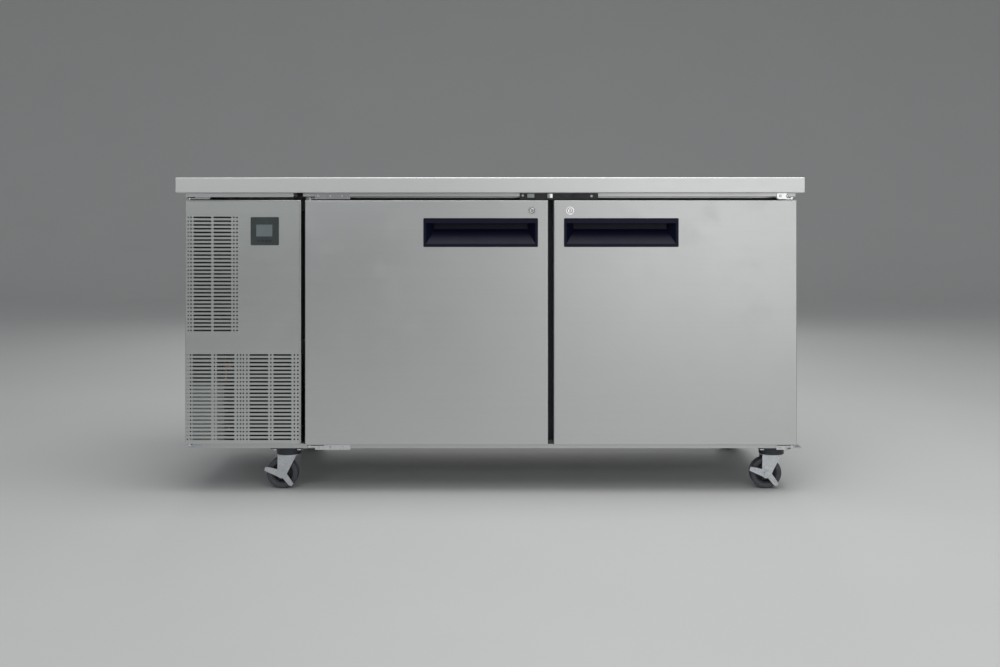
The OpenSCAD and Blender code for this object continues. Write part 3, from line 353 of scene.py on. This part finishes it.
def makeFinishes():
    t = tones
    return {
        "stainless_worktop": brushedSteel("worktopSteel", t["stainless_worktop"], "x", 0.42),
        "stainless_door": brushedSteel("doorSteel", t["stainless_door"], "x", 0.36),
        "stainless_case": brushedSteel("caseSteel", t["stainless_case"], "x", 0.36),
        "stainless_unit_panel": brushedSteel("unitPanelSteel", t["stainless_unit_panel"], "x", 0.36),
        "inner_steel": brushedSteel("linerSteel", t["inner_steel"], "z", 0.3),
        "galvanised_steel": zincPlate("galvanisedSheet", (0.58, 0.6, 0.62), 0.45),
        "zinc_fork": zincPlate("zincFork", (0.66, 0.68, 0.71), 0.34),
        "bright_bracket": brightMetal("bracketPlating", (0.74, 0.75, 0.76), 0.08),
        "lock_chrome": brightMetal("lockChrome", (0.82, 0.82, 0.82), 0.07),
        "board_core": pressedBoard("coreBoard", (0.52, 0.4, 0.26)),
        "foam": cutFoam("cabinetFoam", (0.83, 0.74, 0.45)),
        "frame_plastic": mouldedPlastic("frameMoulding", (0.035, 0.038, 0.055), 0.5),
        "white_plastic": mouldedPlastic("whiteMoulding", (0.74, 0.75, 0.75), 0.4, dust=0.06, cloudy=0.03),
        "seal_rubber": dustyRubber("sealVinyl", (0.03, 0.032, 0.042), 0.5),
        "handle_plastic": mouldedPlastic("handleMoulding", (0.003, 0.004, 0.018), 0.42,
                                         bump=0.2, dust=0.0, shine=0.2),
        "control_plastic": mouldedPlastic("controlMoulding", (0.034, 0.046, 0.046), 0.34, coat=0.2),
        "display_window": mouldedPlastic("displayWindow", (0.17, 0.2, 0.2), 0.15, 300.0, 0.6, 0.03),
        "box_paint": coatedPaint("electricalBoxPaint", (0.42, 0.47, 0.45)),
        "compressor_paint": coatedPaint("compressorPaint", (0.014, 0.014, 0.016), 0.3, 0.5),
        # near-black coil colour: partly the condenser's black paint, partly painted shade standing in for
        # the dark space behind the lower grille
        "coil_paint": coatedPaint("coilPaint", (0.022, 0.022, 0.025), 0.5, 0.1),
        "coil_aluminium": brushedSteel("finAluminium", (0.74, 0.75, 0.76), "z", 0.4),
        "copper": copperTube("copperTube", (0.74, 0.42, 0.3)),
        "black_plastic": mouldedPlastic("blackMoulding", (0.022, 0.022, 0.026), 0.45),
        "housing_plastic": mouldedPlastic("housingMoulding", (0.03, 0.036, 0.036), 0.6),
        "mount_rubber": dustyRubber("mountRubber", (0.025, 0.025, 0.025)),
        # near-black blue-grey colour on the swivel race
        "race_steel": coatedPaint("racePaint", (0.018, 0.022, 0.034), 0.45, 0.15),
        "wheel_rubber": dustyRubber("wheelRubber", (0.06, 0.061, 0.075), 0.5),
        "shelf_wire": brightMetal("shelfPlating", (0.7, 0.71, 0.72), 0.2),
    }


finishes = makeFinishes()
for part in record["subparts"]:
    mesh = frame["nodes"][part["node"]].data
    mesh.materials.clear()
    mesh.materials.append(finishes[part["material_slot"]])
print("finishes on", len(record["subparts"]), "nodes")


# mesh helpers

def jointPlace(name):
    return next(j for j in record["behaviour"]["joints"] if j["name"] == name)["pos_m"]


def settle(name, bm, body, slot, smooth=40.0, finish=None):
    bmesh.ops.recalc_face_normals(bm, faces=bm.faces)
    mesh = bpy.data.meshes.new(name)
    bm.to_mesh(mesh)
    bm.free()
    thing = bpy.data.objects.new(name, mesh)
    bpy.context.scene.collection.objects.link(thing)
    mesh.materials.append(finish or finishes[slot])
    for face in mesh.polygons:
        face.use_smooth = True
    mesh.set_sharp_from_angle(angle=math.radians(smooth))
    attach(thing, body)
    return thing


def turnedInto(bm, profile, place, axis, steps=32):
    # profile is (radius, height) pairs, turned about the axis through place
    frameTurn = Vector((0, 0, 1)).rotation_difference(Vector(axis)).to_matrix()
    rings = []
    for radius, height in profile:
        if radius < 1e-7:
            rings.append([bm.verts.new(Vector(place) + frameTurn @ Vector((0, 0, height)))])
            continue
        ring = []
        for i in range(steps):
            a = 2 * math.pi * i / steps
            spot = Vector((radius * math.cos(a), radius * math.sin(a), height))
            ring.append(bm.verts.new(Vector(place) + frameTurn @ spot))
        rings.append(ring)
    for low, high in zip(rings, rings[1:]):
        for i in range(steps):
            j = (i + 1) % steps
            corners = [low[i % len(low)], low[j % len(low)], high[j % len(high)], high[i % len(high)]]
            face = list(dict.fromkeys(corners))
            if len(face) > 2:
                bm.faces.new(face)


def slabInto(bm, low, high, bevel=0.0):
    made = bmesh.ops.create_cube(bm, size=1.0)
    size = [h - l for l, h in zip(low, high)]
    middle = [(h + l) / 2 for l, h in zip(low, high)]
    bmesh.ops.scale(bm, vec=size, verts=made["verts"])
    bmesh.ops.translate(bm, vec=middle, verts=made["verts"])
    if bevel:
        edges = {e for v in made["verts"] for e in v.link_edges}
        bmesh.ops.bevel(bm, geom=list(edges), offset=bevel, segments=2, affect="EDGES", profile=0.7)


def extrudeInto(bm, outline, low, high, axis):
    # outline in the two other axes, in X, Y, Z order, extruded from low to high
    spots = []
    for level in (low, high):
        row = []
        for a, b in outline:
            spot = {"x": (level, a, b), "y": (a, level, b), "z": (a, b, level)}[axis]
            row.append(bm.verts.new(spot))
        spots.append(row)
    count = len(outline)
    bm.faces.new(spots[0])
    bm.faces.new(spots[1])
    for i in range(count):
        j = (i + 1) % count
        bm.faces.new((spots[0][i], spots[0][j], spots[1][j], spots[1][i]))


def screwInto(bm, place, axis, radius):
    # domed head with a round driver recess
    h = radius * 0.62
    turnedInto(bm, [(0, h * 0.35), (radius * 0.3, h * 0.35), (radius * 0.36, h * 0.98),
                    (radius * 0.62, h), (radius * 0.9, h * 0.66), (radius, h * 0.2), (radius, 0), (0, 0)],
               place, axis, 24)


# doors: seals, screws

seal = {
    # inward from the outer edge, and back from the liner, both in millimetres
    "profile": [(2, 0), (18, 0), (18, 2.4), (12.6, 3.4), (12.6, 4.4), (16.8, 5.1), (19.5, 6.4),
                (20, 8.8), (19.2, 11.0), (17.4, 11.7), (2.6, 11.7), (0.8, 11.0), (0, 8.8),
                (0.5, 6.4), (3.2, 5.1), (7.4, 4.4), (7.4, 3.4), (2, 2.4)],
}


def makeSeal(side):
    node = f"door_{side}_gasket"
    low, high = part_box(node)
    bm = bmesh.new()
    turns = [(low.x, low.z, 1, 1), (high.x, low.z, -1, 1),
             (high.x, high.z, -1, -1), (low.x, high.z, 1, -1)]
    loops = []
    for x, z, inX, inZ in turns:
        loops.append([bm.verts.new((x + inX * a * mm, low.y + b * mm, z + inZ * a * mm))
                      for a, b in seal["profile"]])
    count = len(seal["profile"])
    for k in range(4):
        here, there = loops[k], loops[(k + 1) % 4]
        for i in range(count):
            j = (i + 1) % count
            bm.faces.new((here[i], here[j], there[j], there[i]))
    thing = settle(f"seal_{side}", bm, f"door_{side}", "seal_rubber", 35)
    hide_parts(node)


for side in ("left", "right"):
    makeSeal(side)

hardware = {
    "railBehindDoor": 14.0,      # bracket face behind the door's face
    "plinthBehindDoor": 19.0,
    "leftScrews": (36, 70, 104),
    "rightScrews": (24, 44),
    "screw": 3.6,
}


def makeBracketScrews():
    bm = bmesh.new()
    for side, away, spots in (("left", 1, hardware["leftScrews"]), ("right", -1, hardware["rightScrews"])):
        low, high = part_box(f"door_{side}_skin")
        edge = low.x if away > 0 else high.x
        for along in spots:
            x = edge + away * along * mm
            screwInto(bm, (x, low.y + hardware["railBehindDoor"] * mm, high.z + 12.5 * mm), (0, -1, 0),
                      hardware["screw"] * mm)
            screwInto(bm, (x, low.y + hardware["plinthBehindDoor"] * mm, low.z - 10.5 * mm), (0, -1, 0),
                      hardware["screw"] * mm)
    settle("bracket_screws", bm, "cabinet", "bright_bracket")
    low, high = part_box("lock_strike")
    bm = bmesh.new()
    for x in (low.x + 8 * mm, high.x - 16 * mm):
        screwInto(bm, (x, low.y, high.z - 6.5 * mm), (0, -1, 0), 3.4 * mm)
    settle("strike_screws", bm, "cabinet", "bright_bracket", finish=finishes["white_plastic"])


makeBracketScrews()
print("seals and door screws made")


# controller

control = {
    "keys": 4,
    "key": (8.5, 6.0),           # width and height
    "keyGap": 2.4,
}


def makeController():
    low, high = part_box("controller_bezel")
    middle = (low.x + high.x) / 2
    bm = bmesh.new()
    width, height = control["key"]
    pitch = (width + control["keyGap"]) * mm
    for i in range(control["keys"]):
        x = middle + (i - (control["keys"] - 1) / 2) * pitch
        slabInto(bm, (x - width / 2 * mm, low.y - 0.6 * mm, low.z + 10 * mm),
                 (x + width / 2 * mm, low.y + 0.4 * mm, low.z + (10 + height) * mm), 0.35 * mm)
    settle("controller_keys", bm, "unit_panel", "control_plastic", finish=finishes["black_plastic"])
    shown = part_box("controller_display")
    bm = bmesh.new()
    rim = 1.6 * mm
    for lo, hi in (((shown[0].x - rim, shown[0].z - rim), (shown[1].x + rim, shown[0].z)),
                   ((shown[0].x - rim, shown[1].z), (shown[1].x + rim, shown[1].z + rim)),
                   ((shown[0].x - rim, shown[0].z), (shown[0].x, shown[1].z)),
                   ((shown[1].x, shown[0].z), (shown[1].x + rim, shown[1].z))):
        slabInto(bm, (lo[0], low.y - 0.5 * mm, lo[1]), (hi[0], low.y + 0.3 * mm, hi[1]), 0.15 * mm)
    settle("display_rim", bm, "unit_panel", "control_plastic")


makeController()

rolledEdge = {
    "radius": 2.9,
    "inset": 2.0,                # the roll's middle inside both faces of the panel
}


def makeRolledEdge():
    low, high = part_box("unit_front_panel")
    inset, radius = rolledEdge["inset"] * mm, rolledEdge["radius"] * mm
    right, top, y = high.x - inset, high.z - inset, low.y + inset
    bm = bmesh.new()
    rod = [(0, 0), (radius * 0.8, 0), (radius, radius * 0.3)]
    tall, wide = top - low.z - inset, right - low.x - 4 * inset
    turnedInto(bm, rod + [(radius, tall), (0, tall)], (right, y, low.z + inset), (0, 0, 1), 24)
    turnedInto(bm, rod + [(radius, wide), (0, wide)], (right - wide, y, top), (1, 0, 0), 24)
    bmesh.ops.create_uvsphere(bm, u_segments=24, v_segments=16, radius=radius,
                              matrix=Matrix.Translation((right, y, top)))
    settle("panel_rolled_edge", bm, "unit_panel", "stainless_unit_panel")


makeRolledEdge()


# casters

corners = ("front_left", "front_right", "rear_left", "rear_right")

caster = {
    "tread": 4.5,                # rounding of the tyre's shoulders
    "halfTread": 15.0,           # half of the tyre's width
    "rim": 31.0,
    "spokes": 6,
    "bolt": 35.0,                # bolt's place from the plate's middle
    "plate": 4.0,                # thickness of the top plate
}


def makeWheel(corner):
    node = f"wheel_{corner}"
    low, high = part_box(node)
    centre = (low + high) / 2
    centre.z = low.z + (high.x - low.x) / 2
    radius = (high.x - low.x) / 2
    half = caster["halfTread"] * mm
    rim, shoulder = caster["rim"] * mm, caster["tread"] * mm
    tyre = [(rim, -half + 1.5 * mm), (rim + 2 * mm, -half + 0.4 * mm), (radius - shoulder, -half)]
    for i in range(1, 6):
        a = math.radians(-90 + i * 18)
        tyre.append((radius - shoulder + shoulder * math.cos(a), -half + shoulder + shoulder * math.sin(a)))
    tyre += [(r, -h) for r, h in reversed(tyre)] + [(rim, -half + 1.5 * mm)]
    bm = bmesh.new()
    turnedInto(bm, tyre, centre, (0, 1, 0), 72)
    bmesh.ops.remove_doubles(bm, verts=bm.verts, dist=1e-6)
    tyreThing = settle(f"tyre_{corner}", bm, node, "wheel_rubber", 35)
    bm = bmesh.new()
    boss, web = (high.y - low.y) / 2, 5 * mm
    turnedInto(bm, [(5.2 * mm, -boss), (13 * mm, -boss), (14 * mm, -web - 2 * mm), (24 * mm, -web),
                    (26 * mm, -half + 4 * mm), (rim, -half + 1.6 * mm), (rim, half - 1.6 * mm),
                    (26 * mm, half - 4 * mm), (24 * mm, web), (14 * mm, web + 2 * mm), (13 * mm, boss),
                    (5.2 * mm, boss), (5.2 * mm, -boss)], centre, (0, 1, 0), 48)
    bmesh.ops.remove_doubles(bm, verts=bm.verts, dist=1e-6)
    for i in range(caster["spokes"]):
        turn = Matrix.Rotation(2 * math.pi * i / caster["spokes"], 4, "Y")
        before = set(bm.verts)
        slabInto(bm, (12.5 * mm, -11 * mm, -1.6 * mm), (26.5 * mm, 11 * mm, 1.6 * mm), 0.6 * mm)
        fresh = [v for v in bm.verts if v not in before]
        bmesh.ops.transform(bm, matrix=Matrix.Translation(centre) @ turn, verts=fresh)
    hub = settle(f"hub_{corner}", bm, node, "wheel_rubber", 35, finishes["black_plastic"])
    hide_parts(node)
    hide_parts(node)


for corner in corners:
    makeWheel(corner)
print("wheels made")


# locks and strike

lockFace = {
    "slotWide": 1.7,
    "slotTall": 7.6,
    "ring": (5.0, 6.0),          # turned ring round the keyway
    "joint": (7.1, 8.2),         # dark ring between barrel and bezel
    "bezelStep": 1.0,            # barrel's front past the bezel's
}


def makeKeyway(side):
    low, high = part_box(f"door_{side}_lock_barrel")
    x, _, z = jointPlace(f"lock_{side}_turn")
    bm = bmesh.new()
    inner, outer = (r * mm for r in lockFace["ring"])
    turnedInto(bm, [(inner, 0), (inner, 0.25 * mm), (outer, 0.4 * mm), (outer + 0.5 * mm, 0)],
               (x, low.y, z), (0, -1, 0), 32)
    settle(f"lock_ring_{side}", bm, f"lock_{side}", "lock_chrome")
    # the keyway slot is a thin black slab on the barrel's face: painted shade standing in for the slot's
    # dark recess
    bm = bmesh.new()
    halfWide, halfTall = lockFace["slotWide"] / 2 * mm, lockFace["slotTall"] / 2 * mm
    slabInto(bm, (x - halfWide, low.y - 0.12 * mm, z - halfTall),
             (x + halfWide, low.y + 0.5 * mm, z + halfTall), 0.1 * mm)
    settle(f"keyway_painted_shade_{side}", bm, f"lock_{side}", "lock_chrome", finish=finishes["black_plastic"])
    bm = bmesh.new()
    inner, outer = (r * mm for r in lockFace["joint"])
    turnedInto(bm, [(inner, -0.2 * mm), (inner, 0.12 * mm), (outer, 0.12 * mm), (outer, -0.2 * mm),
                    (inner, -0.2 * mm)], (x, low.y + lockFace["bezelStep"] * mm, z), (0, -1, 0), 40)
    bmesh.ops.remove_doubles(bm, verts=bm.verts, dist=1e-6)
    settle(f"lock_joint_{side}", bm, f"door_{side}", "frame_plastic", finish=finishes["black_plastic"])


for side in ("left", "right"):
    makeKeyway(side)

strike = {
    # left edge and width along the strike, height and how far it stands out, in millimetres
    "greyClip": (21, 20, 11, 3.0),
    "plate": (78, 15, 12, 3.5),
    "wedge": (113, 28, 9, 4.0),
    "block": (152, 68, 14, 4.5),
}


def makeStrikeParts():
    low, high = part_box("lock_strike")
    for name, finish in (("greyClip", "box_paint"), ("plate", "bright_bracket"),
                         ("wedge", "frame_plastic"), ("block", "black_plastic")):
        start, wide, tall, out = (v * mm for v in strike[name])
        x0, z1 = low.x + start, high.z - 1.5 * mm
        bm = bmesh.new()
        if name == "wedge":
            outline = [(x0, z1), (x0 + wide, z1), (x0 + wide, z1 - tall), (x0 + wide * 0.7, z1 - tall)]
            extrudeInto(bm, outline, low.y - out, low.y + 0.3 * mm, "y")
        else:
            slabInto(bm, (x0, low.y - out, z1 - tall), (x0 + wide, low.y + 0.3 * mm, z1), 0.6 * mm)
        settle(f"strike_{name}", bm, "cabinet", "frame_plastic", finish=finishes[finish])
    start, wide, tall, out = (v * mm for v in strike["block"])
    bm = bmesh.new()
    screwInto(bm, (low.x + start + wide - 16 * mm, low.y - out, high.z - 8 * mm), (0, -1, 0), 3.6 * mm)
    settle("strike_screw", bm, "cabinet", "bright_bracket", finish=finishes["white_plastic"])


makeStrikeParts()
print("locks and strike made")


# back panel, side panel and base

louvre = {
    "pitch": 18.0,
    "first": 110.0,              # lowest slot over the panel's lower edge
    "wide": 70.0,
    "tall": 6.0,
    "out": 3.2,
    "sheet": 0.8,
}


def makeLouvres():
    low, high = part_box("unit_back_panel")
    wide = high.x - low.x
    rows = int(((high.z - low.z) / mm - 160) // louvre["pitch"]) + 1
    out, sheet, y = louvre["out"] * mm, louvre["sheet"] * mm, high.y
    bm = bmesh.new()
    for x in (30 * mm, wide / 2 - 35 * mm, wide - 100 * mm):
        for j in range(rows):
            z = low.z + (louvre["first"] + j * louvre["pitch"]) * mm
            top = z + louvre["tall"] * mm
            outline = [(y, top + 2.4 * mm), (y + out, top - 1.4 * mm), (y + out, z + 0.8 * mm),
                       (y + out - sheet, z + 0.8 * mm), (y + out - sheet, top - 1.8 * mm),
                       (y, top + 1.2 * mm)]
            start = low.x + x
            extrudeInto(bm, outline, start, start + louvre["wide"] * mm, "x")
    settle("back_louvres", bm, "cabinet", "galvanised_steel", 25)
    bm = bmesh.new()
    for x in (low.x + 9 * mm, high.x - 9 * mm):
        for k in range(5):
            z = low.z + 16 * mm + k * (high.z - low.z - 32 * mm) / 4
            screwInto(bm, (x, y, z), (0, 1, 0), 4 * mm)
    settle("back_screws", bm, "cabinet", "bright_bracket")
    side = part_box("unit_side_panel")
    bm = bmesh.new()
    for y in (side[0].y + 14 * mm, side[1].y - 14 * mm):
        for z in (side[0].z + 18 * mm, side[1].z - 22 * mm):
            screwInto(bm, (side[0].x, y, z), (-1, 0, 0), 4 * mm)
    settle("side_screws", bm, "cabinet", "bright_bracket")


def makePlateBolts():
    # radius and height from the plate, in millimetres: six-sided head on a washer
    bolt = [(r * mm, h * mm) for r, h in ((0, 5.2), (4.8, 5.2), (6.2, 4.4), (6.2, 1.2),
                                          (8, 1.0), (8, 0), (0, 0))]
    bm = bmesh.new()
    low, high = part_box("caster_plates")
    for corner in corners:
        x, y, _ = jointPlace(f"swivel_{corner}")
        edge = caster["bolt"] * mm
        for a in (-edge, edge):
            for b in (-edge, edge):
                at = (x + a, y + b, high.z - caster["plate"] * mm)
                turnedInto(bm, bolt, at, (0, 0, -1), 6)
    settle("plate_bolts", bm, "cabinet", "bright_bracket", 20)


makeLouvres()
makePlateBolts()


# compressor

seam = {
    "shell": 76.0,               # the shell's radius
    "out": 2.4,
    "tall": 10.0,
    "level": 0.55,               # share of the compressor's height
}


def shellCentre():  # middle of the four mounts
    low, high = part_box("compressor_mounts")
    return (low.x + high.x) / 2, (low.y + high.y) / 2


def makeCompressorSeam():
    low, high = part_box("compressor")
    x, y = shellCentre()
    middle = low.z + (high.z - low.z) * seam["level"]
    inner, outer = (seam["shell"] - 1) * mm, (seam["shell"] + seam["out"]) * mm
    half = seam["tall"] / 2 * mm
    bm = bmesh.new()
    profile = [(inner, -half), (outer - 1.2 * mm, -half * 0.9), (outer, -half * 0.4), (outer, half * 0.4),
               (outer - 1.2 * mm, half * 0.9), (inner, half), (inner, -half)]
    turnedInto(bm, profile, (x, y, middle), (0, 0, 1), 72)
    bmesh.ops.remove_doubles(bm, verts=bm.verts, dist=1e-6)
    settle("compressor_seam", bm, "cabinet", "compressor_paint")


makeCompressorSeam()
print("back and base detail made")


# floor

def makeFloor():
    f = Finish("paleFloor")
    cloud = f.noise((1.3,) * 3, 4.0)
    tone = studio["floorTone"]
    f.feed("Base Color", f.blendTones(cloud, shade(tone, 0.97), shade(tone, 1.03)))
    f.feed("Roughness", 0.55 + cloud * 0.1)
    bm = bmesh.new()
    wide, near, deep, rise, bend = 30.0, -40.0, 9.0, 6.0, 3.0
    outline = [(near, 0.0), (deep - bend, 0.0)]
    for i in range(1, 13):
        a = math.radians(i * 7.5)
        outline.append((deep - bend + bend * math.sin(a), bend - bend * math.cos(a)))
    outline.append((deep, rise))
    rows = [[bm.verts.new((x, y, z)) for y, z in outline] for x in (-wide, wide)]
    for i in range(len(outline) - 1):
        bm.faces.new((rows[0][i], rows[1][i], rows[1][i + 1], rows[0][i + 1]))
    mesh = bpy.data.meshes.new("studioFloor")
    bm.to_mesh(mesh)
    bm.free()
    thing = bpy.data.objects.new("studioFloor", mesh)
    bpy.context.scene.collection.objects.link(thing)
    mesh.materials.append(f.material)
    for face in mesh.polygons:
        face.use_smooth = True


makeFloor()
print("floor made")
